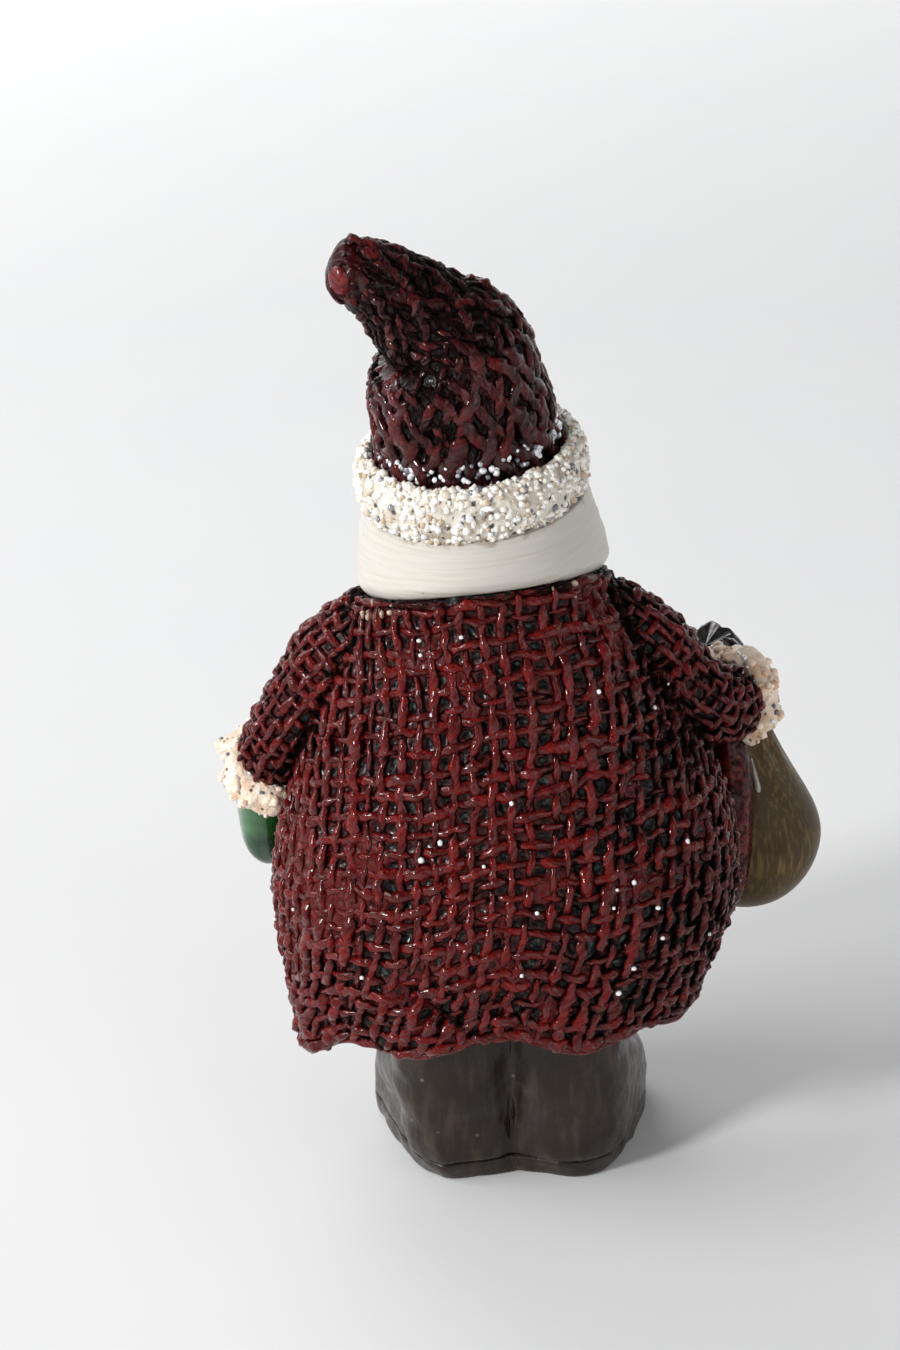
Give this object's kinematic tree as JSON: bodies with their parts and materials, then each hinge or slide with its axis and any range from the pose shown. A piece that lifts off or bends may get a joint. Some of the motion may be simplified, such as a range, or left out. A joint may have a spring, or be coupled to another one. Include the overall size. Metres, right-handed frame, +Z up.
{
  "type": "santa figurine",
  "caption": "Standing holiday figurine with a burlap coat, bent burlap hat, snow trims, mittens, boots and a sack, made to stand on a shelf as decoration.",
  "frame": {"origin": "middle of the underside of the figurine's box, on the surface it stands on", "axes": "+Z up, -Y the way the figurine faces, +X the figurine's own left"},
  "size_m": [0.0818, 0.0542, 0.1303],
  "materials": {
    "cast_resin": "bare cast resin",
    "coat_burlap": "burlap stiffened with glossy brick-red paint and a dark wash",
    "hat_burlap": "burlap stiffened with glossy maroon paint and a dark wash",
    "snow_paste": "grainy snow paste with glitter",
    "hair_white": "brushed off-white paint",
    "skin": "satin skin paint",
    "rosy_skin": "satin rosy paint",
    "eye_black": "glossy black",
    "mitten_green": "glossy green paint",
    "boot_umber": "satin grey-umber paint with scuffs",
    "sack_olive": "satin olive-brown paint, dry-brushed gold",
    "ruffle_black": "glossy black paint with glitter",
    "red_gloss": "smooth glossy dark-red paint",
    "beech": "plain turned beech"
  },
  "bodies": {
    "root": {"torso_core": "cast_resin", "coat": "coat_burlap", "neck_dowel": "beech", "boot_left": "boot_umber", "sole_left": "boot_umber", "leg_dowel_left": "beech", "boot_right": "boot_umber", "sole_right": "boot_umber", "leg_dowel_right": "beech", "sleeve_left": "coat_burlap", "arm_core_left": "cast_resin", "arm_dowel_left": "beech", "cuff_left": "snow_paste", "mitten_left": "mitten_green", "sleeve_right": "coat_burlap", "arm_core_right": "cast_resin", "arm_dowel_right": "beech", "cuff_right": "snow_paste", "mitten_right": "mitten_green", "sack": "sack_olive", "sack_ruffle": "ruffle_black", "sack_pin": "beech", "sack_web": "red_gloss", "head": "skin", "hair": "hair_white", "beard": "hair_white", "nose": "rosy_skin", "hat_brim": "snow_paste", "hat": "hat_burlap", "hat_form": "cast_resin", "hat_tip": "red_gloss", "eye_left": "eye_black", "eyebrow_left": "hair_white", "moustache_left": "hair_white", "eye_right": "eye_black", "eyebrow_right": "hair_white", "moustache_right": "hair_white"}
  },
  "joints": []
}
